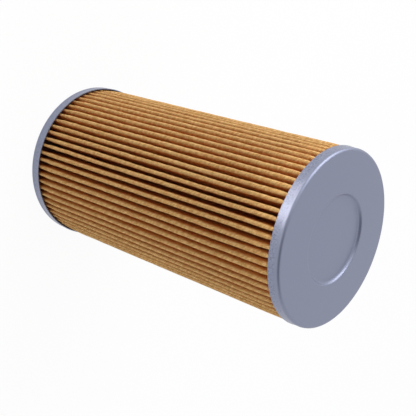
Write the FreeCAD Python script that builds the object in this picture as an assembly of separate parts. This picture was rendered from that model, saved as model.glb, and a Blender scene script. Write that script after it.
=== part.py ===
import FreeCAD, Part
import math
import os

# Cartridge element of a transmission oil filter, in millimetres.
# It stands on its open end: the axis is Z, the open cap's rim is at z = 0
# and the closed cap's face is at the top.

# Overall size
CAP_RADIUS = 50.0
OVERALL_LENGTH = 200.0

# Pressed end caps
CAP_SHEET = 0.5
CORNER_RADIUS = 1.6
CORNER_STEPS = 2
CLOSED_SKIRT = 6.8
OPEN_SKIRT = 7.7

# Shallow round recess in the closed cap, which centres the tube
RECESS_DEPTH = 1.6
RECESS_WALL_RUN = 3.3

# Open cap: a shallow dish round the hole, and a collar turned up into the cartridge
DISH_DEPTH = 2.0
DISH_WALL_RUN = 1.2
COLLAR_HEIGHT = 5.0

# Rubber seal ring in the open cap's hole
SEAL_BORE_RADIUS = 20.0
SEAL_WALL = 2.5
SEAL_SET_BACK = 0.3
SEAL_FLANGE_CLEARANCE = 0.4
SEAL_LIP_OVERHANG = 0.8
SEAL_LIP_HEIGHT = 1.4

# Centre tube with staggered rows of punched slots
TUBE_WALL = 0.7
TUBE_CLEARANCE = 0.3
LIP_TO_TUBE = 2.2
SLOT_WIDTH = 5.0
SLOT_LENGTH = 28.0
SLOTS_PER_ROW = 8
SLOT_ROW_GAP = 16.0
PLAIN_END = 12.0

# Folded filter paper
PLEATS = 66
PAPER = 0.5
TIP_FOLD_RADIUS = 1.15
TIP_STEPS = 4
ROOT_FOLD_RADIUS = 0.35
ROOT_STEPS = 2
TIP_CLEARANCE = 0.2
ROOT_CLEARANCE = 0.3

# Seam where the strip's two ends meet, pressed flat and held by a folded metal clip
SEAM_AZIMUTH = 200.0
SEAM_SET_BACK = 1.0
CLIP_SHEET = 0.3
CLIP_LEG = 6.0

# Adhesive beds that the paper's ends stand on
BED_DEPTH = 3.0

# Sizes that follow from the ones above
SKIRT_BORE_RADIUS = CAP_RADIUS - CAP_SHEET
COLLAR_BORE_RADIUS = SEAL_BORE_RADIUS + SEAL_WALL
COLLAR_TOP_Z = DISH_DEPTH + COLLAR_HEIGHT
LIP_RADIUS = COLLAR_BORE_RADIUS + CAP_SHEET + SEAL_LIP_OVERHANG
LIP_TOP_Z = COLLAR_TOP_Z + SEAL_LIP_HEIGHT
TUBE_BORE_RADIUS = LIP_RADIUS + LIP_TO_TUBE
TUBE_RADIUS = TUBE_BORE_RADIUS + TUBE_WALL
RECESS_TOP_RADIUS = TUBE_BORE_RADIUS - TUBE_CLEARANCE - CAP_SHEET
RECESS_FLOOR_RADIUS = RECESS_TOP_RADIUS - RECESS_WALL_RUN
TUBE_FOOT_Z = DISH_DEPTH + CAP_SHEET
TUBE_HEAD_Z = OVERALL_LENGTH - CAP_SHEET
DISH_FLOOR_RADIUS = TUBE_RADIUS + CAP_SHEET + TUBE_CLEARANCE
DISH_MOUTH_RADIUS = DISH_FLOOR_RADIUS + DISH_WALL_RUN
PAPER_FOOT_Z = CAP_SHEET + BED_DEPTH
PAPER_HEAD_Z = OVERALL_LENGTH - CAP_SHEET - BED_DEPTH
TIP_CENTRE_RADIUS = SKIRT_BORE_RADIUS - TIP_CLEARANCE - TIP_FOLD_RADIUS
ROOT_CENTRE_RADIUS = TUBE_RADIUS + ROOT_CLEARANCE + PAPER + ROOT_FOLD_RADIUS
CLIP_CREST_RADIUS = SKIRT_BORE_RADIUS - TIP_CLEARANCE - SEAM_SET_BACK
SEAM_FOLD_RADIUS = PAPER
SEAM_CENTRE_RADIUS = CLIP_CREST_RADIUS - CLIP_SHEET - SEAM_FOLD_RADIUS

AXIS = FreeCAD.Vector(0, 0, 1)
ORIGIN = FreeCAD.Vector(0, 0, 0)


def section_point(radius, height):
    """Point of a turned section."""
    return FreeCAD.Vector(radius, 0, height)


def polar(radius, angle, height=0.0):
    """Point at a radius and an angle round the axis."""
    return FreeCAD.Vector(radius * math.cos(angle), radius * math.sin(angle), height)


def closed_face(points):
    """Flat face with straight edges through the points."""
    return Part.Face(Part.makePolygon(points + points[:1]))


def turned(section):
    """Solid made by turning a section face round the axis."""
    return section.revolve(ORIGIN, AXIS, 360).Solids[0]


def ring(inner_radius, outer_radius, foot, head):
    """Section face of a plain ring."""
    return closed_face([
        section_point(inner_radius, foot),
        section_point(outer_radius, foot),
        section_point(outer_radius, head),
        section_point(inner_radius, head),
    ])


def rounded_corner(before, corner, after, radius, steps):
    """Points that round a corner off to a radius."""
    incoming = (corner - before).normalize()
    outgoing = (after - corner).normalize()
    half_turn = incoming.getAngle(outgoing) / 2
    inward = (outgoing - incoming).normalize()
    centre = corner + inward * (radius / math.cos(half_turn))
    points = []
    for step in range(steps + 1):
        angle = half_turn * (2 * step / steps - 1)
        bulge = inward * -math.cos(angle) + (incoming + outgoing).normalize() * math.sin(angle)
        points.append(centre + bulge * radius)
    return points


def pressed_section(line, sheet):
    """Section of pressed sheet whose outer side follows a line; sheet is positive to its left."""
    return Part.makePolygon(line).makeOffset2D(sheet, 2, True, True, False)


def closed_cap_section():
    """Skirt, rounded corner, flat face and the recess round the axis."""
    lip = section_point(CAP_RADIUS, OVERALL_LENGTH - CLOSED_SKIRT)
    corner = section_point(CAP_RADIUS, OVERALL_LENGTH)
    recess_top = section_point(RECESS_TOP_RADIUS, OVERALL_LENGTH)
    line = [lip]
    line += rounded_corner(lip, corner, recess_top, CORNER_RADIUS, CORNER_STEPS)
    line += [
        recess_top,
        section_point(RECESS_FLOOR_RADIUS, OVERALL_LENGTH - RECESS_DEPTH),
        section_point(0, OVERALL_LENGTH - RECESS_DEPTH),
    ]
    return pressed_section(line, CAP_SHEET)


def open_cap_section():
    """Skirt, rounded corner, flat rim, dish and the collar that the seal ring grips."""
    lip = section_point(CAP_RADIUS, OPEN_SKIRT)
    corner = section_point(CAP_RADIUS, 0)
    dish_mouth = section_point(DISH_MOUTH_RADIUS, 0)
    line = [lip]
    line += rounded_corner(lip, corner, dish_mouth, CORNER_RADIUS, CORNER_STEPS)
    line += [
        dish_mouth,
        section_point(DISH_FLOOR_RADIUS, DISH_DEPTH),
        section_point(COLLAR_BORE_RADIUS, DISH_DEPTH),
        section_point(COLLAR_BORE_RADIUS, COLLAR_TOP_Z),
    ]
    return pressed_section(line, -CAP_SHEET)


def bed_section(cap_section, foot, head):
    """Section of the adhesive that fills a cap between its skirt and the centre tube."""
    outer = CAP_RADIUS - CAP_SHEET / 2
    middle = OVERALL_LENGTH / 2
    pieces = ring(TUBE_RADIUS, outer, foot, head).cut(cap_section).Faces
    return min(pieces, key=lambda face: abs(face.CenterOfMass.z - middle))


def seal_section():
    """Rubber ring: a flange in the dish, a plain bore and a lip over the collar's edge."""
    flange_radius = DISH_FLOOR_RADIUS - SEAL_FLANGE_CLEARANCE
    return closed_face([
        section_point(SEAL_BORE_RADIUS, SEAL_SET_BACK),
        section_point(flange_radius, SEAL_SET_BACK),
        section_point(flange_radius, DISH_DEPTH),
        section_point(COLLAR_BORE_RADIUS, DISH_DEPTH),
        section_point(COLLAR_BORE_RADIUS, COLLAR_TOP_Z),
        section_point(LIP_RADIUS, COLLAR_TOP_Z),
        section_point(LIP_RADIUS, LIP_TOP_Z),
        section_point(SEAL_BORE_RADIUS, LIP_TOP_Z),
    ])


def slot_punch(angle, foot):
    """Block that punches one upright slot out of the centre tube."""
    outward = polar(1, angle)
    along = AXIS.cross(outward)
    low_edge = polar(TUBE_BORE_RADIUS - TUBE_WALL, angle, foot) - along * (SLOT_WIDTH / 2)
    high_edge = low_edge + AXIS * SLOT_LENGTH
    width = along * SLOT_WIDTH
    window = closed_face([low_edge, low_edge + width, high_edge + width, high_edge])
    return window.extrude(outward * (3 * TUBE_WALL))


def centre_tube():
    """Tube with staggered rows of slots between its plain ends."""
    tube = turned(ring(TUBE_BORE_RADIUS, TUBE_RADIUS, TUBE_FOOT_Z, TUBE_HEAD_Z))
    slotted_height = TUBE_HEAD_Z - TUBE_FOOT_Z - 2 * PLAIN_END
    rows = round((slotted_height + SLOT_ROW_GAP) / (SLOT_LENGTH + SLOT_ROW_GAP))
    row_pitch = (slotted_height - SLOT_LENGTH) / (rows - 1)
    punches = []
    for row in range(rows):
        foot = TUBE_FOOT_Z + PLAIN_END + row * row_pitch
        for place in range(SLOTS_PER_ROW):
            angle = 2 * math.pi * (place + row % 2 / 2) / SLOTS_PER_ROW
            punches.append(slot_punch(angle, foot))
    return tube.cut(Part.makeCompound(punches)).Solids[0]


def fold(index, inner_side):
    """Centre, radius and steps of a fold; even numbers are tips, odd ones are roots, 0 is the seam.

    The radius is that of the strip's outer side or of its inner side.
    """
    angle = math.radians(SEAM_AZIMUTH) + index * math.pi / PLEATS
    if index % 2 == 1:
        radius = ROOT_FOLD_RADIUS + (PAPER if inner_side else 0)
        return polar(ROOT_CENTRE_RADIUS, angle), radius, ROOT_STEPS
    thinner = PAPER if inner_side else 0
    if index == 0:
        return polar(SEAM_CENTRE_RADIUS, angle), SEAM_FOLD_RADIUS - thinner, TIP_STEPS
    return polar(TIP_CENTRE_RADIUS, angle), TIP_FOLD_RADIUS - thinner, TIP_STEPS


def flank_normal(centre, radius, next_centre, next_radius, side):
    """Direction from a fold's centre to where the straight flank to the next fold leaves it."""
    span = next_centre - centre
    along = FreeCAD.Vector(span).normalize()
    sine = (radius + next_radius) / span.Length
    return along * sine + AXIS.cross(along) * (side * math.sqrt(1 - sine ** 2))


def fold_directions(index):
    """Directions from a fold's centre to the flank that arrives and to the one that leaves."""
    directions = []
    for here, after in ((index - 1, index), (index, index + 1)):
        centre, radius, _ = fold(here % (2 * PLEATS), False)
        next_centre, next_radius, _ = fold(after % (2 * PLEATS), False)
        side = -1 if here % 2 == 0 else 1
        directions.append(flank_normal(centre, radius, next_centre, next_radius, side))
    return directions[0] * -1, directions[1]


def fold_points(index, centre, radius, steps):
    """Points round a fold at a radius, from the arriving flank to the leaving one."""
    if radius == 0:
        return [centre]
    arriving, leaving = fold_directions(index)
    turn = 1 if index % 2 == 0 else -1
    start = math.atan2(arriving.y, arriving.x)
    sweep = turn * (math.atan2(leaving.y, leaving.x) - start) % (2 * math.pi)
    return [centre + polar(radius, start + turn * sweep * step / steps) for step in range(steps + 1)]


def strip_side(inner_side):
    """Closed line of one side of the folded strip, all the way round."""
    points = []
    for index in range(2 * PLEATS):
        centre, radius, steps = fold(index, inner_side)
        points += fold_points(index, centre, radius, steps)
    return Part.makePolygon(points + points[:1])


def extruded_strip(section):
    """Solid of a section that stands between the two adhesive beds."""
    section.translate(AXIS * PAPER_FOOT_Z)
    return section.extrude(AXIS * (PAPER_HEAD_Z - PAPER_FOOT_Z))


def pleated_media():
    """Filter paper folded into a ring, one strip all the way round."""
    return extruded_strip(Part.Face([strip_side(False), strip_side(True)]))


def seam_clip():
    """Folded strip of sheet metal that grips the seam from outside."""
    centre, radius, steps = fold(0, False)
    arriving, leaving = fold_directions(0)
    legs = [AXIS.cross(arriving) * -CLIP_LEG, AXIS.cross(leaving) * CLIP_LEG]
    inside = fold_points(0, centre, radius, steps)
    outside = fold_points(0, centre, radius + CLIP_SHEET, steps)
    inside = [inside[0] + legs[0]] + inside + [inside[-1] + legs[1]]
    outside = [outside[0] + legs[0]] + outside + [outside[-1] + legs[1]]
    return extruded_strip(closed_face(outside + inside[::-1]))


def build():
    """Writes each piece of the cartridge to its own file."""
    closed_section = closed_cap_section()
    open_section = open_cap_section()
    closed_bed = bed_section(closed_section, PAPER_HEAD_Z, OVERALL_LENGTH)
    open_bed = bed_section(open_section, 0, PAPER_FOOT_Z)
    pieces = {
        "closed_end_cap": turned(closed_section),
        "open_end_cap": turned(open_section),
        "centre_tube": centre_tube(),
        "pleated_media": pleated_media(),
        "seam_clip": seam_clip(),
        "potting_closed": turned(closed_bed),
        "potting_open": turned(open_bed),
        "seal_grommet": turned(seal_section()),
    }
    os.makedirs("parts", exist_ok=True)
    for name, solid in pieces.items():
        solid.exportStep(f"parts/{name}.step")


build()
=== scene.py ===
import logging
import math
from abc import ABC, abstractmethod
from dataclasses import dataclass
from enum import Enum
from typing import ClassVar, Iterable, NamedTuple, Optional, Sequence, Union

import bmesh
import bpy
import numpy as np
from mathutils import Matrix, Vector, noise


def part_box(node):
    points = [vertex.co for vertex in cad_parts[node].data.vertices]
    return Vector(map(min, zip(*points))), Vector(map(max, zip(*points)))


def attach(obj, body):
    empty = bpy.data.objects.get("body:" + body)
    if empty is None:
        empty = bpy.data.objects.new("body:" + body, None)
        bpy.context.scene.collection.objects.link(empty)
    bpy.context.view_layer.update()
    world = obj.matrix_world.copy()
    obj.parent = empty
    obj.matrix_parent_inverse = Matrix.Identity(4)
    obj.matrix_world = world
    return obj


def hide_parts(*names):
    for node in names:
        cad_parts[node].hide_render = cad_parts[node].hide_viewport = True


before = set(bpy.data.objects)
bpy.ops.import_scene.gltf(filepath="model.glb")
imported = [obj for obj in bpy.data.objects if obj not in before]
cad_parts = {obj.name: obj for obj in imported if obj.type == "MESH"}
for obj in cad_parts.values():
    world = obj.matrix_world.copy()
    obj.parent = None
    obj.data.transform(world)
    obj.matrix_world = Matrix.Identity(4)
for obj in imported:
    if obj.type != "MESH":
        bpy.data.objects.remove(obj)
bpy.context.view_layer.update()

# The cartridge element of a transmission oil filter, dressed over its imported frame, in metres.
# It stands on its open end: the axis is Z, the open cap's rim is at z = 0 and the closed
# cap's face is at the top.

MM = 0.001
ROOT_BODY = "root"
LOG = logging.getLogger("oil_filter")

Colour = tuple[float, float, float]
Sizes = tuple[float, float, float]
Direction = tuple[float, float, float]
Operand = Union[int, float, "Wire"]
SocketValue = Union[int, float, Sequence[float], "Wire"]
Patterns = tuple["Wire", "Wire", "Wire"]
Mesh = bmesh.types.BMesh
Loop = list[bmesh.types.BMVert]

WHITE: Colour = (1.0, 1.0, 1.0)
NOISE_MIDDLE = 0.5
NO_GRID = 180.0


class Slot(Enum):
    """Material slots of the record for the pieces that are made here, though no piece is given one here."""

    CAP_STEEL = "cap_steel"
    FILTER_PAPER = "filter_paper"
    TUBE_STEEL = "tube_steel"
    CLIP_STEEL = "clip_steel"
    SEAL_RUBBER = "seal_rubber"


def screen_colour(red: int, green: int, blue: int) -> Colour:
    """Turns a colour as a screen shows it into the light it stands for.

    Args:
        red: red from 0 to 255.
        green: green from 0 to 255.
        blue: blue from 0 to 255.

    Returns:
        The colour in linear light.
    """
    full, low_end, slope, offset, power = 255, 0.04045, 12.92, 0.055, 2.4
    shares = [level / full for level in (red, green, blue)]
    return tuple(s / slope if s <= low_end else ((s + offset) / (1 + offset)) ** power for s in shares)


def eased(value: float, low: float, high: float) -> float:
    """Rises smoothly from 0 at low to 1 at high."""
    share = min(max((value - low) / (high - low), 0.0), 1.0)
    return share * share * (3 - 2 * share)


def direction(azimuth: float, elevation: float = 0.0) -> Vector:
    """Unit vector that points this way, in degrees."""
    turn, rise = math.radians(azimuth), math.radians(elevation)
    return Vector((math.cos(turn) * math.cos(rise), math.sin(turn) * math.cos(rise), math.sin(rise)))


def unit_vectors(angles: np.ndarray) -> np.ndarray:
    """Unit vectors at these angles, one to a row."""
    return np.stack((np.cos(angles), np.sin(angles)), axis=1)


# Shader graphs


class Cloud(NamedTuple):
    """A noise pattern: the size of its clouds, and how many finer layers it has and how strong."""

    size: float
    detail: float = 2.0
    roughness: float = 0.5


class Wire:
    """An output socket of a shader graph, on which sums are written as expressions."""

    def __init__(self, graph: "ShaderGraph", socket: bpy.types.NodeSocket) -> None:
        """Keeps the socket and the graph it belongs to."""
        self.graph = graph
        self.socket = socket

    def _sum(self, operation: str, *operands: Operand) -> "Wire":
        """Result of a Math node with these inputs."""
        return self.graph.node("ShaderNodeMath", {"operation": operation}, dict(enumerate(operands)))

    def __add__(self, other: Operand) -> "Wire":
        """Sum of the two."""
        return self._sum("ADD", self, other)

    __radd__ = __add__

    def __sub__(self, other: Operand) -> "Wire":
        """This less the other."""
        return self._sum("SUBTRACT", self, other)

    def __rsub__(self, other: Operand) -> "Wire":
        """The other less this."""
        return self._sum("SUBTRACT", other, self)

    def __mul__(self, other: Operand) -> "Wire":
        """Product of the two."""
        return self._sum("MULTIPLY", self, other)

    __rmul__ = __mul__

    def __abs__(self) -> "Wire":
        """Size without the sign."""
        return self._sum("ABSOLUTE", self)

    def at_most(self, other: Operand) -> "Wire":
        """The smaller of the two."""
        return self._sum("MINIMUM", self, other)

    def rising(self, low: float, high: float) -> "Wire":
        """Rises smoothly from 0 at low to 1 at high."""
        span = {"Value": self, "From Min": low, "From Max": high}
        return self.graph.node("ShaderNodeMapRange", {"interpolation_type": "SMOOTHSTEP"}, span)


class ShaderGraph:
    """The nodes of one material or of the world."""

    def __init__(self, tree: bpy.types.NodeTree) -> None:
        """Starts from an empty tree."""
        tree.nodes.clear()
        self.tree = tree

    @staticmethod
    def _socket(sockets: Iterable[bpy.types.NodeSocket], place: Union[int, str]) -> bpy.types.NodeSocket:
        """Finds a socket by its number, or by its name among those in use."""
        named = (socket for socket in sockets if socket.name == place and socket.enabled)
        return sockets[place] if isinstance(place, int) else next(named)

    def node(
        self,
        kind: str,
        settings: Optional[dict[str, object]] = None,
        inputs: Optional[dict[Union[int, str], SocketValue]] = None,
        output: Union[int, str] = 0,
    ) -> Wire:
        """Adds a node.

        Args:
            kind: the node's type.
            settings: its own properties, set before its sockets.
            inputs: a value or a wire for each socket, by name or number.
            output: the name or number of the output wanted.

        Returns:
            A wire from that output.
        """
        made = self.tree.nodes.new(kind)
        for name, setting in (settings or {}).items():
            setattr(made, name, setting)
        for place, value in (inputs or {}).items():
            socket = self._socket(made.inputs, place)
            if isinstance(value, Wire):
                self.tree.links.new(value.socket, socket)
            elif isinstance(value, (int, float)):
                socket.default_value = value
            else:
                padding = (1.0,) * (len(socket.default_value) - len(value))
                socket.default_value = (*value, *padding)
        return Wire(self, self._socket(made.outputs, output))

    def place(self) -> Wire:
        """Where a point of the piece is, in the frame."""
        return self.node("ShaderNodeTexCoord", output="Object")

    def part_of(self, vector: Wire, axis: str) -> Wire:
        """One part of a vector, X, Y or Z."""
        return self.node("ShaderNodeSeparateXYZ", inputs={"Vector": vector}, output=axis)

    def from_axis(self, vector: Wire) -> Wire:
        """Distance of a place from the object's axis."""
        flat = self.node("ShaderNodeVectorMath", {"operation": "MULTIPLY"}, {0: vector, 1: (1.0, 1.0, 0.0)})
        return self.node("ShaderNodeVectorMath", {"operation": "LENGTH"}, {0: flat}, "Value")

    def stretched(self, vector: Wire, sizes: Sizes, turn: float = 0.0) -> Wire:
        """Coordinates of a pattern.

        Args:
            vector: the coordinates in metres.
            sizes: the length of one unit of the pattern along each axis.
            turn: how far the pattern is turned about Z, in radians.

        Returns:
            The coordinates to draw the pattern at.
        """
        angles = {"Vector": vector, "Angle": turn}
        turned = self.node("ShaderNodeVectorRotate", {"rotation_type": "Z_AXIS"}, angles)
        scales = [1 / size for size in sizes]
        return self.node("ShaderNodeMapping", inputs={"Vector": turned, "Scale": scales})

    def noise(self, vector: Wire, cloud: Cloud) -> Wire:
        """Cloudy pattern around its middle value, drawn at these coordinates."""
        shape = {"Scale": 1 / cloud.size, "Detail": cloud.detail, "Roughness": cloud.roughness}
        return self.node("ShaderNodeTexNoise", inputs={"Vector": vector, **shape})

    def blend(self, share: Operand, first: SocketValue, second: SocketValue) -> Wire:
        """Mixes two colours, with this share of the second."""
        inputs = {"Factor": share, "A": first, "B": second}
        return self.node("ShaderNodeMix", {"data_type": "RGBA"}, inputs, "Result")

    def brightened(self, colour: SocketValue, factor: Wire) -> Wire:
        """Multiplies a colour by a value, which is 1 where it stays as it is."""
        return self.node("ShaderNodeVectorMath", {"operation": "SCALE"}, {"Vector": colour, "Scale": factor})

    def relief(self, height: Wire, depth: float) -> Wire:
        """Normal of a surface with a relief, whose height of 0 to 1 stands for this depth."""
        return self.node("ShaderNodeBump", inputs={"Height": height, "Distance": depth})

    def principled(self, **inputs: SocketValue) -> Wire:
        """Principled shader; each argument is a socket's name with _ for its spaces."""
        named = {name.replace("_", " "): value for name, value in inputs.items()}
        return self.node("ShaderNodeBsdfPrincipled", inputs=named)

    def background_seen(self) -> Wire:
        """Tells the rays that show the background: to the eye, in metal or through glass.

        Returns:
            1 for these rays, 0 for others.
        """
        rays = ("Is Camera Ray", "Is Glossy Ray", "Is Transmission Ray")
        eye, metal, glass = (self.node("ShaderNodeLightPath", output=ray) for ray in rays)
        return (eye + metal + glass).at_most(1.0)

    def end(self, kind: str, shader: Wire) -> None:
        """Adds an output node of that kind and leads the shader to it."""
        made = self.tree.nodes.new(kind)
        self.tree.links.new(shader.socket, made.inputs["Surface"])


# Finishes


@dataclass(frozen=True)
class Finish(ABC):
    """The look of one kind of surface, with the name of its material."""

    name: ClassVar[str]

    @abstractmethod
    def shader(self, graph: ShaderGraph) -> Wire:
        """Builds the surface's shader in a graph and returns it."""

    def material(self) -> bpy.types.Material:
        """Makes the material, or finds it where it was made before.

        Returns:
            The material of this finish.
        """
        found = bpy.data.materials.get(self.name)
        if found:
            return found
        made = bpy.data.materials.new(self.name)
        made.use_nodes = True
        graph = ShaderGraph(made.node_tree)
        graph.end("ShaderNodeOutputMaterial", self.shader(graph))
        return made


@dataclass(frozen=True)
class CapPlating(Finish):
    """Blue-grey plating of the end caps: satin on the faces and grainy on the skirts."""

    name: ClassVar[str] = "cap_plating"
    plating: Colour = screen_colour(134, 139, 160)
    speckle: Cloud = Cloud(0.35 * MM, 3.0, 0.6)
    speckle_contrast: float = 0.1
    speckle_roughness: float = 0.12
    speckle_relief: float = 0.25
    grain: Cloud = Cloud(0.75 * MM, 2.0, 0.7)
    grain_contrast: float = 1.5
    grain_roughness: float = 0.5
    grain_gloss: float = 0.06
    grain_radius: float = 49.2 * MM
    grain_fade: float = 0.3 * MM
    middle_height: float = 100 * MM
    grain_from: float = 96.3 * MM
    grain_to: float = 97.6 * MM
    metal: float = 0.82
    roughness: float = 0.42
    relief_depth: float = 0.034 * MM

    def shader(self, graph: ShaderGraph) -> Wire:
        """Satin plating with coarse zinc grain towards the skirts' lips.

        Args:
            graph: the material's graph.

        Returns:
            The shader.
        """
        place = graph.place()
        from_middle = abs(graph.part_of(place, "Z") - self.middle_height)
        skirt = graph.from_axis(place).rising(self.grain_radius, self.grain_radius + self.grain_fade)
        grainy = skirt * (1 - from_middle.rising(self.grain_from, self.grain_to))
        speckle = graph.noise(place, self.speckle) - NOISE_MIDDLE
        grain = (graph.noise(place, self.grain) - NOISE_MIDDLE) * grainy
        shade = (1 + speckle * self.speckle_contrast) * (1 + grain * self.grain_contrast)
        roughness = self.roughness + speckle * self.speckle_roughness + grain * self.grain_roughness
        return graph.principled(
            Base_Color=graph.brightened(self.plating, shade),
            Metallic=self.metal,
            Roughness=roughness - grainy * self.grain_gloss,
            Normal=graph.relief(speckle * self.speckle_relief + grain, self.relief_depth),
        )


@dataclass(frozen=True)
class FilterPaper(Finish):
    """Resin-treated filter paper with slanting fibre marks, with painted shade that makes it darker and
    ruddier down in the pleats and paler crests that stand in for a painted highlight.
    """

    name: ClassVar[str] = "pleated_paper"
    strip_map: ClassVar[str] = "strip"
    pale: Colour = screen_colour(209, 170, 113)
    deep: Colour = screen_colour(194, 150, 90)
    # Painted shade: the darker colour down in the folds, with ruddy blotches in it.
    valley_shade: Colour = screen_colour(194, 118, 50)
    ruddy: Colour = screen_colour(182, 94, 36)
    # Between these radii the painted shade of the folds gives way to the paler crests, which are a painted
    # highlight.
    valley_radius: float = 46.6 * MM
    crest_radius: float = 49.1 * MM
    fibre_sizes: Sizes = (0.95 * MM, 3.4 * MM, 1 * MM)
    fibre_slant: float = math.radians(-43)
    fibres: Cloud = Cloud(1.0, 1.5, 0.6)
    fibre_range: tuple[float, float] = (0.36, 0.64)
    fibre_contrast: float = 0.13
    fibre_relief: float = 0.6
    blotches: Cloud = Cloud(2.3 * MM, 2.0, 0.6)
    blotch_range: tuple[float, float] = (0.45, 0.65)
    blotch_reach: float = 0.25
    pulp: Cloud = Cloud(0.45 * MM, 3.0, 0.65)
    pulp_contrast: float = 0.18
    pulp_relief: float = 0.4
    roughness: float = 0.9
    shine: float = 0.2
    relief_depth: float = 0.12 * MM

    def shader(self, graph: ShaderGraph) -> Wire:
        """Blotched paper whose fibre marks run across the strip at a slant, with painted shade in the folds
        and paler crests as a painted highlight.

        Args:
            graph: the material's graph.

        Returns:
            The shader.
        """
        place = graph.place()
        along_strip = graph.node("ShaderNodeUVMap", {"uv_map": self.strip_map})
        slanted = graph.stretched(along_strip, self.fibre_sizes, self.fibre_slant)
        marks = graph.noise(slanted, self.fibres).rising(*self.fibre_range)
        blotches = graph.noise(along_strip, self.blotches).rising(*self.blotch_range)
        pulp = graph.noise(place, self.pulp) - NOISE_MIDDLE
        # Painted shade and highlight: by distance from the axis the colour goes from the shaded folds to the
        # paler crests.
        crest = graph.from_axis(place).rising(self.valley_radius, self.crest_radius)
        painted_fold_shade = graph.blend(blotches, self.valley_shade, self.ruddy)
        crest_side = graph.blend(marks, self.deep, self.pale)
        colour = graph.blend(crest * (1 - blotches * self.blotch_reach), painted_fold_shade, crest_side)
        shade = 1 + (marks - NOISE_MIDDLE) * self.fibre_contrast + pulp * self.pulp_contrast
        return graph.principled(
            Base_Color=graph.brightened(colour, shade),
            Roughness=self.roughness,
            Specular_IOR_Level=self.shine,
            Normal=graph.relief(marks * self.fibre_relief + pulp * self.pulp_relief, self.relief_depth),
        )


@dataclass(frozen=True)
class TwoTone(Finish):
    """A finish between two colours, whose colour, roughness and relief follow patterns."""

    darker: Colour
    lighter: Colour
    metal: float = 0.0
    roughness: float = 0.5
    unevenness: float = 0.2
    relief_depth: float = 0.01 * MM

    @abstractmethod
    def patterns(self, graph: ShaderGraph) -> Patterns:
        """Patterns that the colour, the roughness and the relief follow."""

    def shader(self, graph: ShaderGraph) -> Wire:
        """Mixes the two colours by their pattern.

        Args:
            graph: the material's graph.

        Returns:
            The shader.
        """
        tint, wear, height = self.patterns(graph)
        return graph.principled(
            Base_Color=graph.blend(tint, self.darker, self.lighter),
            Metallic=self.metal,
            Roughness=self.roughness + wear * self.unevenness,
            Normal=graph.relief(height, self.relief_depth),
        )


@dataclass(frozen=True)
class TubeZinc(TwoTone):
    """Zinc-coated sheet of the centre tube."""

    name: ClassVar[str] = "tube_zinc"
    darker: Colour = screen_colour(150, 153, 156)
    lighter: Colour = screen_colour(196, 198, 200)
    spangle_size: float = 6 * MM
    spangle_share: float = 0.6
    mark_sizes: Sizes = (0.3 * MM, 0.3 * MM, 12 * MM)
    marks: Cloud = Cloud(1.0)
    metal: float = 0.9
    roughness: float = 0.36
    unevenness: float = 0.12

    def patterns(self, graph: ShaderGraph) -> Patterns:
        """Zinc crystals of different brightness, with rolling marks along the tube.

        Args:
            graph: the material's graph.

        Returns:
            The patterns of colour, roughness and relief.
        """
        place = graph.place()
        crystals = {"Vector": place, "Scale": 1 / self.spangle_size}
        tone = graph.part_of(graph.node("ShaderNodeTexVoronoi", inputs=crystals, output="Color"), "X")
        marks = graph.noise(graph.stretched(place, self.mark_sizes), self.marks)
        return tone * self.spangle_share + marks * (1 - self.spangle_share), tone, marks


@dataclass(frozen=True)
class ClipTin(TwoTone):
    """Tinned strip of the seam clip."""

    name: ClassVar[str] = "clip_tin"
    darker: Colour = screen_colour(158, 158, 154)
    lighter: Colour = screen_colour(190, 190, 186)
    mark_sizes: Sizes = (0.2 * MM, 0.2 * MM, 25 * MM)
    marks: Cloud = Cloud(1.0, 3.0)
    metal: float = 0.85
    roughness: float = 0.25
    relief_depth: float = 0.008 * MM

    def patterns(self, graph: ShaderGraph) -> Patterns:
        """Fine drawing marks along the strip's length."""
        marks = graph.noise(graph.stretched(graph.place(), self.mark_sizes), self.marks)
        return marks, marks, marks


@dataclass(frozen=True)
class Adhesive(TwoTone):
    """Cured glossy adhesive that the paper's ends stand in."""

    name: ClassVar[str] = "cured_adhesive"
    darker: Colour = screen_colour(96, 62, 50)
    lighter: Colour = screen_colour(124, 84, 68)
    flow: Cloud = Cloud(5 * MM)
    roughness: float = 0.3
    relief_depth: float = 0.15 * MM

    def patterns(self, graph: ShaderGraph) -> Patterns:
        """Uneven flow."""
        flow = graph.noise(graph.place(), self.flow)
        return flow, flow, flow


@dataclass(frozen=True)
class SealRubber(TwoTone):
    """Black moulded rubber of the seal ring."""

    name: ClassVar[str] = "moulded_rubber"
    darker: Colour = screen_colour(30, 30, 31)
    lighter: Colour = screen_colour(52, 52, 54)
    bloom: Cloud = Cloud(4 * MM, 3.0)
    bloom_range: tuple[float, float] = (0.4, 0.75)
    pores: Cloud = Cloud(0.25 * MM, 1.0)

    def patterns(self, graph: ShaderGraph) -> Patterns:
        """Faint grey bloom on matt rubber, with fine pores."""
        bloom = graph.noise(graph.place(), self.bloom)
        return bloom.rising(*self.bloom_range), bloom, graph.noise(graph.place(), self.pores)


@dataclass(frozen=True)
class StudioPaper(Finish):
    """White floor paper, which also shows white behind the object."""

    name: ClassVar[str] = "studio_paper"
    paper: Colour = (0.9, 0.9, 0.9)
    texture: Cloud = Cloud(1.5 * MM)
    roughness: float = 0.8
    relief_depth: float = 0.02 * MM
    glow: float = 0.94

    def shader(self, graph: ShaderGraph) -> Wire:
        """Matt paper, mixed with plain white where the background is seen.

        Args:
            graph: the material's graph.

        Returns:
            The shader.
        """
        relief = graph.relief(graph.noise(graph.place(), self.texture), self.relief_depth)
        matt = graph.principled(Base_Color=self.paper, Roughness=self.roughness, Normal=relief)
        plain = graph.node("ShaderNodeEmission", inputs={"Color": WHITE, "Strength": 1.0})
        share = graph.background_seen() * self.glow
        return graph.node("ShaderNodeMixShader", inputs={0: share, 1: matt, 2: plain})


# Meshes


class Corner(NamedTuple):
    """A corner of a section beside the axis."""

    radius: float
    height: float
    bend: float = 0.0


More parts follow.
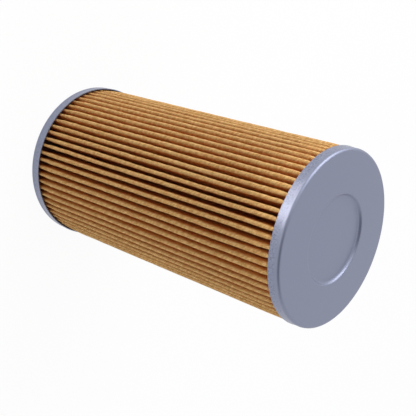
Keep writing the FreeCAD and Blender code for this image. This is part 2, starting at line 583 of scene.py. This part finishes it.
@dataclass(frozen=True)
class Section:
    """A line of straight runs and round bends in the half plane beside the axis.

    Runs from supported_run on get an extra point at each end, which keeps a bend's shading in place.
    """

    corners: Sequence[Corner]
    closed: bool
    arc_step: float = math.radians(11)
    support: float = 0.12 * MM
    supported_run: float = 0.48 * MM

    def _bend(self, index: int) -> tuple[np.ndarray, np.ndarray]:
        """Rounds one corner off, or takes an end of an open line as it is.

        Args:
            index: which corner.

        Returns:
            The points of its arc, and at each the unit vector to the line's left.
        """
        last = len(self.corners) - 1
        places = (index - 1, index, (index + 1) % (last + 1))
        before, here, after = (np.array(self.corners[place][:2]) for place in places)
        arriving = (here - before) / np.linalg.norm(here - before)
        leaving = (after - here) / np.linalg.norm(after - here)
        if not self.closed and index == 0:
            arriving = leaving
        if not self.closed and index == last:
            leaving = arriving
        turn = math.atan2(arriving[0] * leaving[1] - arriving[1] * leaving[0], arriving @ leaving)
        bend = self.corners[index].bend * math.copysign(1, turn)
        start = here - arriving * bend * math.tan(turn / 2)
        steps = math.ceil(abs(turn) / self.arc_step)
        normals = unit_vectors(math.atan2(arriving[0], -arriving[1]) + np.linspace(0, turn, steps + 1))
        return start + (normals[0] - normals) * bend, normals

    def line(self) -> tuple[np.ndarray, np.ndarray]:
        """Works the whole line out.

        Returns:
            The points, and at each the unit vector to the line's left.
        """
        count = len(self.corners)
        stretches = [self._bend(index) for index in range(count)]
        points = []
        normals = []
        for index, (arc, arc_normals) in enumerate(stretches):
            points.extend(arc)
            normals.extend(arc_normals)
            following, following_normals = stretches[(index + 1) % count]
            run = following[0] - arc[-1]
            length = np.linalg.norm(run)
            if length > self.supported_run and (self.closed or index < count - 1):
                inset = run / length * self.support
                points.extend((arc[-1] + inset, following[0] - inset))
                normals.extend((arc_normals[-1], following_normals[0]))
        return np.array(points), np.array(normals)


def sheet_outline(section: Section, sheet: float, edge: float = 0.08 * MM) -> np.ndarray:
    """Outline of pressed sheet whose outer side follows a section line.

    Args:
        section: the line of the sheet's outer side.
        sheet: its thickness, positive where the metal lies to the line's left.
        edge: how far a cut end is set back. The last of them is broken by as much.

    Returns:
        The points round the sheet: its outer side, then its inner side back to the start.
    """
    points, normals = section.line()
    inner = points + normals * sheet
    outline = [points, inner[::-1]]
    for end in (0, -1):
        if points[end][0] > edge:
            rim = (inner[end] - points[end]) / abs(sheet) * edge
            back = np.array([normals[end][1], -normals[end][0]]) * (edge if end == 0 else -edge)
            cuts = [(points[end] + rim)[None], (inner[end] - rim)[None]]
            points[end] += back
            inner[end] += back
            outline = [cuts[0], points, inner[::-1], cuts[1]] if end == 0 else [points, *cuts, inner[::-1]]
    return np.concatenate(outline)


def round_axis(radius: float, angle: float, height: float) -> tuple[float, float, float]:
    """Point at this distance from the axis, angle round it and height."""
    return radius * math.cos(angle), radius * math.sin(angle), height


def even_ring(mesh: Mesh, radius: float, height: float, steps: int) -> Loop:
    """Adds points at even steps round the axis."""
    angles = [2 * math.pi * step / steps for step in range(steps)]
    return [mesh.verts.new(round_axis(radius, angle, height)) for angle in angles]


def join(mesh: Mesh, near: Loop, far: Loop) -> None:
    """Joins two closed loops of points with faces."""
    for corners in zip(near, near[1:] + near[:1], far[1:] + far[:1], far):
        mesh.faces.new(corners)


def join_in_turn(mesh: Mesh, loops: list[Loop]) -> None:
    """Joins each closed loop of points with the next."""
    for near, far in zip(loops, loops[1:]):
        join(mesh, near, far)


def turned_mesh(outline: np.ndarray, segments: int) -> Mesh:
    """Turns an outline round the axis.

    Args:
        outline: radius and height of each point, all the way round the section.
        segments: how many steps the turn has.

    Returns:
        The closed mesh.
    """
    mesh = bmesh.new()
    on_axis = 1e-7
    rings = []
    for radius, height in outline:
        if radius < on_axis:
            rings.append([mesh.verts.new((0, 0, height))] * segments)
        else:
            rings.append(even_ring(mesh, radius, height, segments))
    for here, there in zip(rings, rings[1:] + rings[:1]):
        if here[0] is here[1] and there[0] is there[1]:
            continue
        for step in range(segments):
            after = (step + 1) % segments
            corners = dict.fromkeys((here[step], here[after], there[after], there[step]))
            mesh.faces.new(list(corners))
    return mesh


def added(name: str, data: bpy.types.ID) -> bpy.types.Object:
    """Adds an object to the scene.

    Args:
        name: the object's name.
        data: its mesh, lamp or camera.

    Returns:
        The object.
    """
    made = bpy.data.objects.new(name, data)
    bpy.context.scene.collection.objects.link(made)
    return made


def mesh_object(name: str, mesh: Mesh, finish: Finish) -> bpy.types.Object:
    """Adds an object made of a mesh.

    Args:
        name: the object's name.
        mesh: its mesh, which is used up.
        finish: its look.

    Returns:
        The object.
    """
    data = bpy.data.meshes.new(name)
    mesh.to_mesh(data)
    mesh.free()
    data.materials.append(finish.material())
    return added(name, data)


def dress_piece(
    name: str,
    mesh: Mesh,
    finish: Finish,
    stands_for: str,
    sharp_from: float = math.radians(50),
) -> None:
    """Makes a piece of the object from a mesh, riding on the root body.

    Args:
        name: the piece's name.
        mesh: its mesh, which is used up.
        finish: its look.
        stands_for: the frame's node that it replaces.
        sharp_from: edges that turn by more than this stay sharp.
    """
    bmesh.ops.recalc_face_normals(mesh, faces=mesh.faces)
    for face in mesh.faces:
        face.smooth = True
    for edge in mesh.edges:
        edge.smooth = edge.calc_face_angle(0.0) < sharp_from
    piece = mesh_object(name, mesh, finish)
    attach(piece, ROOT_BODY)
    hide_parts(stands_for)
    triangles = sum(len(polygon.vertices) - 2 for polygon in piece.data.polygons)
    LOG.info("%s: %d triangles", name, triangles)


# Pieces


@dataclass
class EndCaps:
    """The two pressed caps that close the cartridge's ends."""

    radius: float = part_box("closed_end_cap")[1].x
    closed_lip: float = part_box("closed_end_cap")[0].z
    closed_face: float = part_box("closed_end_cap")[1].z
    open_lip: float = 7.7 * MM
    open_face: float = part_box("open_end_cap")[0].z
    sheet: float = 0.5 * MM
    corner_radius: float = 1.6 * MM
    corner_inset: float = 0.1 * MM
    waist_inset: float = 0.38 * MM
    waist_distance: float = 2.9 * MM
    waist_bend: float = 3.0 * MM
    recess_radius: float = 25.2 * MM
    recess_wall: float = 0.95 * MM
    recess_depth: float = 1.6 * MM
    recess_edge: float = 1.2 * MM
    recess_foot: float = 2.0 * MM
    dish_edge: float = 0.75 * MM
    dish_radius: float = 28.7 * MM
    dish_wall: float = 1.2 * MM
    dish_depth: float = 2.0 * MM
    collar_radius: float = 22.5 * MM
    collar_top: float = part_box("open_end_cap")[0].z + 7.0 * MM
    collar_bend: float = 0.9 * MM
    segments: int = 320
    finish: Finish = CapPlating()

    def skirt(self, lip: float, face: float) -> list[Corner]:
        """Corners of a skirt from its lip, past its waist, to the rounded corner of the face.

        Args:
            lip: height of the skirt's lip.
            face: height of the cap's face.

        Returns:
            The three corners.
        """
        waist = face + math.copysign(self.waist_distance, lip - face)
        return [
            Corner(self.radius, lip),
            Corner(self.radius - self.waist_inset, waist, self.waist_bend),
            Corner(self.radius - self.corner_inset, face, self.corner_radius),
        ]

    def press(self, name: str, stands_for: str, corners: list[Corner], sheet: float) -> None:
        """Makes a cap whose outer side follows the corners, with its metal to their left."""
        mesh = turned_mesh(sheet_outline(Section(corners, closed=False), sheet), self.segments)
        dress_piece(name, mesh, self.finish, stands_for)

    def closed_cap(self) -> None:
        """Cap with a flat face and a shallow round recess."""
        floor = self.closed_face - self.recess_depth
        corners = self.skirt(self.closed_lip, self.closed_face) + [
            Corner(self.recess_radius, self.closed_face, self.recess_edge),
            Corner(self.recess_radius - self.recess_wall, floor, self.recess_foot),
            Corner(0.0, floor),
        ]
        self.press("closed_cap_dressed", "closed_end_cap", corners, self.sheet)

    def open_cap(self) -> None:
        """Cap with a dish round its hole and a collar turned up into the cartridge."""
        floor = self.open_face + self.dish_depth
        corners = self.skirt(self.open_lip, self.open_face) + [
            Corner(self.dish_radius, self.open_face, self.dish_edge),
            Corner(self.dish_radius - self.dish_wall, floor, self.dish_edge),
            Corner(self.collar_radius, floor, self.collar_bend),
            Corner(self.collar_radius, self.collar_top),
        ]
        self.press("open_cap_dressed", "open_end_cap", corners, -self.sheet)


@dataclass
class SealRing:
    """Rubber ring that grips the open cap's collar."""

    bore: float = 20.0 * MM
    foot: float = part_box("seal_grommet")[0].z
    head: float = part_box("seal_grommet")[1].z
    flange_radius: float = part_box("seal_grommet")[1].x
    flange_top: float = 2.0 * MM
    neck_radius: float = 22.5 * MM
    lip_foot: float = 7.0 * MM
    lip_radius: float = 23.8 * MM
    soft_edge: float = 0.6 * MM
    inner_edge: float = 0.15 * MM
    segments: int = 224
    finish: Finish = SealRubber()

    def build(self) -> None:
        """Moulded ring with soft edges."""
        corners = [
            Corner(self.bore, self.foot, self.soft_edge),
            Corner(self.flange_radius, self.foot, self.soft_edge),
            Corner(self.flange_radius, self.flange_top, self.inner_edge),
            Corner(self.neck_radius, self.flange_top, self.inner_edge),
            Corner(self.neck_radius, self.lip_foot, self.inner_edge),
            Corner(self.lip_radius, self.lip_foot, self.inner_edge),
            Corner(self.lip_radius, self.head, self.soft_edge),
            Corner(self.bore, self.head, self.soft_edge),
        ]
        outline, _ = Section(corners, closed=True).line()
        mesh = turned_mesh(outline, self.segments)
        dress_piece("seal_ring_dressed", mesh, self.finish, "seal_grommet")


@dataclass
class CentreTube:
    """Slotted steel tube that holds the paper up from inside."""

    radius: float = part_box("centre_tube")[1].x
    foot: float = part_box("centre_tube")[0].z
    head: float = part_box("centre_tube")[1].z
    wall: float = 0.7 * MM
    slot_width: float = 5.0 * MM
    slot_length: float = 28.0 * MM
    slot_corner: float = 1.2 * MM
    slots_per_row: int = 8
    rows: int = 4
    plain_end: float = 12.0 * MM
    edge_steps: int = 16
    side_steps: int = 20
    rings: int = 4
    ring_crowding: float = 1.4
    weld: float = 0.002 * MM
    finish: Finish = TubeZinc()

    @property
    def row_pitch(self) -> float:
        """Height from one row of slots to the next."""
        return (self.head - self.foot - 2 * self.plain_end - self.slot_length) / (self.rows - 1)

    def slot_edge(self, across: float, up: float) -> tuple[float, float]:
        """Point of a slot's edge.

        Args:
            across: how far across the slot's box the point is, from -1 to 1.
            up: how far up its box it is, from -1 to 1.

        Returns:
            The point from the slot's middle, with the box's corners rounded.
        """
        half_width, half_length = self.slot_width / 2, self.slot_length / 2
        past = Vector((
            abs(across) * half_width - (half_width - self.slot_corner),
            abs(up) * half_length - (half_length - self.slot_corner),
        ))
        if min(past) <= 0:
            return across * half_width, up * half_length
        past = past.normalized() * self.slot_corner
        return (
            math.copysign(half_width - self.slot_corner + past.x, across),
            math.copysign(half_length - self.slot_corner + past.y, up),
        )

    def box_edge(self) -> list[tuple[float, float]]:
        """Points round a box that runs from -1 to 1 both ways.

        Returns:
            How far across and how far up each point is.
        """
        across = [2 * step / self.edge_steps - 1 for step in range(self.edge_steps)]
        up = [2 * step / self.side_steps - 1 for step in range(self.side_steps)]
        edge = [(share, -1.0) for share in across]
        edge += [(1.0, share) for share in up]
        edge += [(-share, 1.0) for share in across]
        edge += [(-1.0, -share) for share in up]
        return edge

    def add_cell(self, mesh: Mesh, angle: float, height: float) -> None:
        """Adds the sheet round one slot, inside and outside, and the slot's cut edge.

        Args:
            mesh: the tube's mesh.
            angle: where the slot's middle is round the axis.
            height: how high it is.
        """
        half_turn = math.pi / self.slots_per_row
        slots = []
        for radius in (self.radius, self.radius - self.wall):
            loops = []
            for ring in range(self.rings + 1):
                share = (ring / self.rings) ** self.ring_crowding
                loop = []
                for across, up in self.box_edge():
                    slot_x, slot_z = self.slot_edge(across, up)
                    turn = (1 - share) * slot_x / self.radius + share * across * half_turn
                    rise = (1 - share) * slot_z + share * up * self.row_pitch / 2
                    loop.append(mesh.verts.new(round_axis(radius, angle + turn, height + rise)))
                loops.append(loop)
            slots.append(loops[0])
            join_in_turn(mesh, loops)
        join_in_turn(mesh, slots)

    def add_end(self, mesh: Mesh, cells_end: float, tube_end: float) -> None:
        """Adds the plain stretch between the outermost slots' sheet and one end of the tube.

        Args:
            mesh: the tube's mesh.
            cells_end: where the outermost cells end.
            tube_end: where the tube ends.
        """
        steps = self.slots_per_row * self.edge_steps
        inside = self.radius - self.wall
        corners = ((self.radius, cells_end), (self.radius, tube_end), (inside, tube_end), (inside, cells_end))
        join_in_turn(mesh, [even_ring(mesh, radius, height, steps) for radius, height in corners])

    def build(self) -> None:
        """The tube with staggered rows of slots."""
        mesh = bmesh.new()
        first = self.foot + self.plain_end + self.slot_length / 2
        for row in range(self.rows):
            for place in range(self.slots_per_row):
                angle = 2 * math.pi * (place + row % 2 / 2) / self.slots_per_row
                self.add_cell(mesh, angle, first + row * self.row_pitch)
        self.add_end(mesh, first - self.row_pitch / 2, self.foot)
        self.add_end(mesh, first + (self.rows - 0.5) * self.row_pitch, self.head)
        bmesh.ops.remove_doubles(mesh, verts=mesh.verts, dist=self.weld)
        dress_piece("centre_tube_dressed", mesh, self.finish, "centre_tube")


class Wave(NamedTuple):
    """Unevenness along the folds, in a row of the noise that no other wave reads."""

    row: int
    size: float
    length: float = 1.0
    fold_start: float = 0.5
    fold_pitch: float = 3.71
    row_pitch: float = 17.3

    def at(self, fold: int, height: float) -> float:
        """How much it adds at a height of a fold, up to about its size either way."""
        across, row = fold * self.fold_pitch + self.fold_start, self.row * self.row_pitch
        return self.size * 2 * noise.noise(Vector((across, height / self.length, row)))


class Pinched(NamedTuple):
    """A size of the folds, free between the caps and as each cap pinches it."""

    free: float
    open_end: float
    closed_end: float

    def at(self, near_open: float, near_closed: float) -> float:
        """The size this near to each cap, where 0 is well away from it and 1 is inside it."""
        opening, closing = self.open_end - self.free, self.closed_end - self.free
        return self.free + opening * near_open + closing * near_closed


def fold_arc(
    centre: np.ndarray, radius: float, arriving: np.ndarray, leaving: np.ndarray, turn: int, steps: int
) -> np.ndarray:
    """Points round a fold.

    Args:
        centre: the fold's centre.
        radius: how far from it the points are.
        arriving: direction from the centre to where the strip meets the fold.
        leaving: direction from the centre to where it leaves the fold.
        turn: 1 where the strip turns left there, -1 where it turns right.
        steps: how many steps the arc has.

    Returns:
        The points in order.
    """
    start, end = (math.atan2(side[1], side[0]) for side in (arriving, leaving))
    sweep = turn * (end - start) % (2 * math.pi)
    return centre + radius * unit_vectors(start + turn * sweep * np.arange(steps + 1) / steps)


@dataclass
class PleatedMedia:
    """Filter paper folded into a ring of pleats, one strip all the way round.

    Folds are numbered round the ring: even ones are tips, odd ones are roots, and 0 is the seam.
    """

    foot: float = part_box("pleated_media")[0].z
    head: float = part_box("pleated_media")[1].z
    tube_radius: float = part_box("centre_tube")[1].x
    pleats: int = 66
    paper: float = 0.5 * MM
    seam_azimuth: float = math.radians(200)
    seam_centre: float = 47.5 * MM
    seam_fold: float = 0.52 * MM
    open_lip: float = 7.7 * MM
    open_rise: float = 11 * MM
    closed_lip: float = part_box("closed_end_cap")[0].z
    closed_rise: float = 6 * MM
    overlap: float = 1 * MM
    crest: Pinched = Pinched(49.38 * MM, 48.75 * MM, 49.15 * MM)
    tip_fold: Pinched = Pinched(1.15 * MM, 0.82 * MM, 0.98 * MM)
    root_fold: float = 0.35 * MM
    root_clearance: float = 0.3 * MM
    crowding: float = math.radians(0.75)
    crowding_waves: int = 3
    crowding_azimuth: float = math.radians(20.2)
    lean: float = math.radians(1.1)
    lean_azimuth: float = math.radians(18)
    uneven_pitch: Wave = Wave(0, math.radians(0.28))
    sway: Wave = Wave(1, math.radians(0.22), 55 * MM)
    uneven_fold: Wave = Wave(2, 0.09 * MM, 30 * MM)
    uneven_crest: Wave = Wave(3, 0.12 * MM, 18 * MM)
    ripple: Wave = Wave(4, 0.09 * MM, 3.4 * MM)
    still_by_seam: float = math.radians(3.4)
    quiet_by_seam: float = math.radians(16)
    flank_support: float = 0.14
    tip_steps: int = 6
    root_steps: int = 2
    outer_levels: int = 104
    inner_levels: int = 13
    sharp_from: float = math.radians(70)
    finish: Finish = FilterPaper()

    @property
    def folds(self) -> int:
        """Number of folds round the ring, tips and roots together."""
        return 2 * self.pleats

    @property
    def root_centre(self) -> float:
        """Distance of the roots' centres from the axis."""
        return self.tube_radius + self.root_clearance + self.paper + self.root_fold

    def end_pinch(self, height: float) -> tuple[float, float]:
        """How near a height is to each cap: 1 inside the cap's skirt, 0 well away from it."""
        open_end = 1 - eased(height, self.open_lip - self.overlap, self.open_lip + self.open_rise)
        return open_end, eased(height, self.closed_lip - self.closed_rise, self.closed_lip + self.overlap)

    def fold_at(self, fold: int, height: float) -> tuple[float, float, float]:
        """Place and size of a fold at a height.

        Args:
            fold: the fold's number.
            height: the height above the open cap's rim.

        Returns:
            The angle and the distance of its centre, and the radius of its outer side.
        """
        even_angle = self.seam_azimuth + math.pi * fold / self.pleats
        from_seam = abs(math.remainder(even_angle - self.seam_azimuth, 2 * math.pi))
        loose = eased(from_seam, self.still_by_seam, self.quiet_by_seam)
        waves = self.crowding_waves * (even_angle - self.crowding_azimuth)
        facing = (1 + math.cos(even_angle - self.lean_azimuth)) / 2
        along = (height - self.foot) / (self.head - self.foot) - 0.5
        shift = -self.crowding * (1 + math.cos(waves)) - self.lean * facing * along
        shift += self.uneven_pitch.at(fold, 0.0) + self.sway.at(fold, height)
        angle = even_angle + shift * loose
        if fold == 0:
            return angle, self.seam_centre, self.seam_fold
        if fold % 2 == 1:
            return angle, self.root_centre, self.root_fold
        pinch = self.end_pinch(height)
        radius = self.tip_fold.at(*pinch) + self.uneven_fold.at(fold, height) * loose
        crest = self.crest.at(*pinch) - abs(self.uneven_crest.at(fold, height)) * loose
        angle += self.ripple.at(fold, height) / crest * loose
        return angle, crest - radius, radius

    def folds_at(self, height: float) -> tuple[np.ndarray, np.ndarray, np.ndarray, np.ndarray]:
        """Places and sizes of all folds at a height.

        Args:
            height: the height above the open cap's rim.

        Returns:
            Their centres and outer radii, and the unit vectors from each centre to where the
            strip meets the fold and to where it leaves it.
        """
        placed = np.array([self.fold_at(fold, height) for fold in range(self.folds)])
        radii = placed[:, 2]
        centres = placed[:, 1, None] * unit_vectors(placed[:, 0])
        spans = np.roll(centres, -1, axis=0) - centres
        lengths = np.linalg.norm(spans, axis=1)
        along = spans / lengths[:, None]
        across = np.stack((-along[:, 1], along[:, 0]), axis=1)
        sines = (radii + np.roll(radii, -1)) / lengths
        sides = np.where(np.arange(self.folds) % 2 == 0, -1.0, 1.0)
        leaving = along * sines[:, None] + across * (sides * np.sqrt(1 - sines ** 2))[:, None]
        return centres, radii, -np.roll(leaving, 1, axis=0), leaving

    def level(self, height: float, inner_side: bool) -> np.ndarray:
        """One side of the folded strip at a height.

        Args:
            height: the height above the open cap's rim.
            inner_side: whether it is the side towards the axis.

        Returns:
            The points all the way round, from the seam.
        """
        centres, radii, arriving, leaving = self.folds_at(height)
        arcs = []
        for fold in range(self.folds):
            turn, steps = (1, self.tip_steps) if fold % 2 == 0 else (-1, self.root_steps)
            radius = radii[fold] - turn * (self.paper if inner_side else 0.0)
            arcs.append(fold_arc(centres[fold], radius, arriving[fold], leaving[fold], turn, steps))
        return self.with_flank_points(arcs)

    def with_flank_points(self, arcs: list[np.ndarray]) -> np.ndarray:
        """Adds a point on each flank near its tip, so that the tip's shading stays there.

        Args:
            arcs: the points of each fold.

        Returns:
            All points in order.
        """
        line = []
        for fold, arc in enumerate(arcs):
            following = arcs[(fold + 1) % len(arcs)][0]
            share = self.flank_support if fold % 2 == 0 else 1 - self.flank_support
            line += [arc, (arc[-1] * (1 - share) + following * share)[None]]
        return np.concatenate(line)

    def build(self) -> None:
        """The whole ring of paper, with its two sides and its cut ends."""
        mesh = bmesh.new()
        heights = np.linspace(self.foot, self.head, self.outer_levels + 1)
        sides = []
        for inner_side, every in ((False, 1), (True, self.outer_levels // self.inner_levels)):
            loops = []
            for height in heights[::every]:
                line = self.level(height, inner_side)
                loops.append([mesh.verts.new((x, y, height)) for x, y in line])
            sides.append(loops)
        for loops in (*sides, [side[0] for side in sides], [side[-1] for side in sides]):
            join_in_turn(mesh, loops)
        self.add_strip_map(mesh, self.level(self.foot, False))
        dress_piece(
            "pleated_media_dressed", mesh, self.finish, "pleated_media", self.sharp_from
        )

    def add_strip_map(self, mesh: Mesh, line: np.ndarray) -> None:
        """Adds the map that says how far along the strip and how high up it a point is, in metres.

        Args:
            mesh: the ring of paper, level by level.
            line: the strip's line at the foot.
        """
        around = len(line)
        steps = np.linalg.norm(np.roll(line, -1, axis=0) - line, axis=1)
        runs = np.concatenate(([0.0], np.cumsum(steps)))
        strip = mesh.loops.layers.uv.new(FilterPaper.strip_map)
        mesh.verts.index_update()
        for face in mesh.faces:
            places = [corner.vert.index % around for corner in face.loops]
            wraps = max(places) - min(places) > around / 2
            for corner, place in zip(face.loops, places):
                run = runs[around] if wraps and place == 0 else runs[place]
                corner[strip].uv = (run, corner.vert.co.z)


@dataclass
class SeamClip:
    """Folded strip of tinned steel that grips the paper's seam from outside."""

    media: PleatedMedia
    foot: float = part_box("seam_clip")[0].z
    head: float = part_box("seam_clip")[1].z
    sheet: float = 0.3 * MM
    leg: float = 6.0 * MM
    fold_steps: int = 14
    finish: Finish = ClipTin()

    def side(self, radius: float) -> np.ndarray:
        """One side of the folded strip, from the end of one leg to that of the other.

        Args:
            radius: the radius of its fold.

        Returns:
            The points.
        """
        centre, _, arriving, leaving = (values[0] for values in self.media.folds_at(self.foot))
        arc = fold_arc(centre, radius, arriving, leaving, 1, self.fold_steps)
        first_leg = np.array([arriving[1], -arriving[0]]) * self.leg
        last_leg = np.array([-leaving[1], leaving[0]]) * self.leg
        return np.concatenate(((arc[0] + first_leg)[None], arc, (arc[-1] + last_leg)[None]))

    def build(self) -> None:
        """The folded strip."""
        inside = self.side(self.media.seam_fold)
        outside = self.side(self.media.seam_fold + self.sheet)
        outline = np.concatenate((outside, inside[::-1]))
        mesh = bmesh.new()
        loops = [[mesh.verts.new((x, y, height)) for x, y in outline] for height in (self.foot, self.head)]
        join_in_turn(mesh, loops)
        for loop in loops:
            for step in range(len(outside) - 1):
                opposite = len(outline) - 1 - step
                mesh.faces.new((loop[step], loop[step + 1], loop[opposite - 1], loop[opposite]))
        dress_piece("seam_clip_dressed", mesh, self.finish, "seam_clip")


@dataclass
class AdhesiveBeds:
    """The adhesive in both caps, which keeps its solids from the frame."""

    nodes: tuple[str, ...] = ("potting_closed", "potting_open")
    finish: Finish = Adhesive()

    def dress(self) -> None:
        """Gives the frame's own pieces their finish."""
        for name in self.nodes:
            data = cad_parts[name].data
            data.materials.clear()
            data.materials.append(self.finish.material())
            LOG.info("%s: finish only", name)


# Studio


@dataclass(frozen=True)
class SoftBox:
    """A studio light that faces a point of the object, or its axis where the radius is 0."""

    name: str
    azimuth: float
    elevation: float
    distance: float
    width: float
    height: float
    level: float
    spread: float = NO_GRID
    aim_radius: float = 0.0
    aim_height: float = 100 * MM
    colour: Colour = WHITE
    mirrored: bool = True

    @property
    def gathering(self) -> float:
        """How much brighter the light's middle is than that of one without a grid."""
        half = math.radians(self.spread) / 2
        return 1.0 if self.spread == NO_GRID else math.tan(half) / (math.tan(half) - half)

    def place(self) -> None:
        """Sets the light up, unseen by the camera."""
        away = direction(self.azimuth, self.elevation)
        lamp = bpy.data.lights.new(self.name, "AREA")
        lamp.shape = "RECTANGLE"
        lamp.size = self.width
        lamp.size_y = self.height
        lamp.spread = math.radians(self.spread)
        lamp.color = self.colour
        lamp.energy = self.level * math.pi ** 2 * self.distance ** 2 / self.gathering
        made = added(self.name, lamp)
        aim = direction(self.azimuth) * self.aim_radius + Vector((0, 0, self.aim_height))
        made.location = aim + away * self.distance
        made.rotation_euler = away.to_track_quat("Z", "Y").to_euler()
        made.visible_camera = False
        made.visible_glossy = self.mirrored


@dataclass(frozen=True)
class LowLight(SoftBox):
    """Narrow warm light from beside the cartridge, which picks out the closed cap's skirt."""

    elevation: float = -34
    distance: float = 0.23
    width: float = 0.22
    height: float = 0.05
    level: float = 1.0
    spread: float = 16
    aim_radius: float = 50 * MM
    aim_height: float = 214 * MM
    colour: Colour = (1.0, 0.93, 0.84)


@dataclass
class Studio:
    """Floor, lights, surroundings and camera."""

    floor_half_width: float = 2.5
    ambient: float = 0.67
    ambient_colour: Colour = (0.97, 0.98, 1.0)
    dark_side: Direction = (0.302, 0.679, 0.669)
    dark_level: float = 0.25
    dark_from: float = 0.66
    dark_to: float = 0.92
    soft_boxes: tuple[SoftBox, ...] = (
        SoftBox("key_light", azimuth=-72, elevation=27, distance=1.1, width=1.0, height=0.9, level=0.72),
        SoftBox("top_light", azimuth=-32, elevation=44, distance=1.1, width=1.0, height=0.7, level=0.1),
        SoftBox(
            "side_light", azimuth=106, elevation=14, distance=1.5, width=2.2, height=2.0, level=0.52,
            mirrored=False,
        ),
        LowLight("low_left_light", azimuth=-20, level=2.0),
        LowLight("low_right_light", azimuth=4, level=3.7),
    )
    view_azimuth: float = 17.349
    view_elevation: float = 38.588
    view_distance: float = 479.3 * MM
    aim_height: float = 110.75 * MM
    aim_sideways: float = 5.74 * MM
    roll: float = 108.79
    lens: float = 69.147
    sensor: float = 36.0

    def lay_floor(self) -> None:
        """Lays a pale floor under the object."""
        mesh = bmesh.new()
        bmesh.ops.create_grid(mesh, x_segments=1, y_segments=1, size=self.floor_half_width)
        floor = mesh_object("studio_floor", mesh, StudioPaper())

    def surround(self) -> None:
        """Lights the object softly from all round but the dark part of the room, and shows white."""
        world = bpy.data.worlds.new("studio")
        bpy.context.scene.world = world
        world.use_nodes = True
        graph = ShaderGraph(world.node_tree)
        sight = graph.node("ShaderNodeTexCoord", output="Generated")
        sides = {0: sight, 1: self.dark_side}
        facing = graph.node("ShaderNodeVectorMath", {"operation": "DOT_PRODUCT"}, sides, "Value")
        level = 1 - facing.rising(self.dark_from, self.dark_to) * (1 - self.dark_level)
        soft = {"Color": self.ambient_colour, "Strength": level * self.ambient}
        light = graph.node("ShaderNodeBackground", inputs=soft)
        white = graph.node("ShaderNodeBackground", inputs={"Color": WHITE, "Strength": level})
        seen = graph.node("ShaderNodeMixShader", inputs={0: graph.background_seen(), 1: light, 2: white})
        graph.end("ShaderNodeOutputWorld", seen)

    def set_camera(self) -> None:
        """Looks at the object from the photograph's angle."""
        away = direction(self.view_azimuth, self.view_elevation)
        sideways = direction(self.view_azimuth + 90)
        aim = sideways * self.aim_sideways + Vector((0, 0, self.aim_height))
        data = bpy.data.cameras.new("camera")
        data.lens = self.lens
        data.sensor_width = self.sensor
        data.sensor_fit = "HORIZONTAL"
        camera = added("camera", data)
        upright = away.to_track_quat("Z", "Y").to_matrix().to_4x4()
        rolled = Matrix.Rotation(math.radians(self.roll), 4, "Z")
        camera.matrix_world = Matrix.Translation(aim + away * self.view_distance) @ upright @ rolled
        bpy.context.scene.camera = camera

    def build(self) -> None:
        """Sets the whole studio up."""
        self.set_camera()
        self.lay_floor()
        self.surround()
        for soft_box in self.soft_boxes:
            soft_box.place()
        bpy.context.scene.view_settings.view_transform = "Standard"


def main() -> None:
    """Builds the studio and dresses each piece of the cartridge."""
    logging.basicConfig(level=logging.INFO, format="%(message)s")
    Studio().build()
    caps = EndCaps()
    caps.closed_cap()
    caps.open_cap()
    SealRing().build()
    CentreTube().build()
    media = PleatedMedia()
    media.build()
    SeamClip(media).build()
    AdhesiveBeds().dress()


if __name__ == "__main__":
    main()
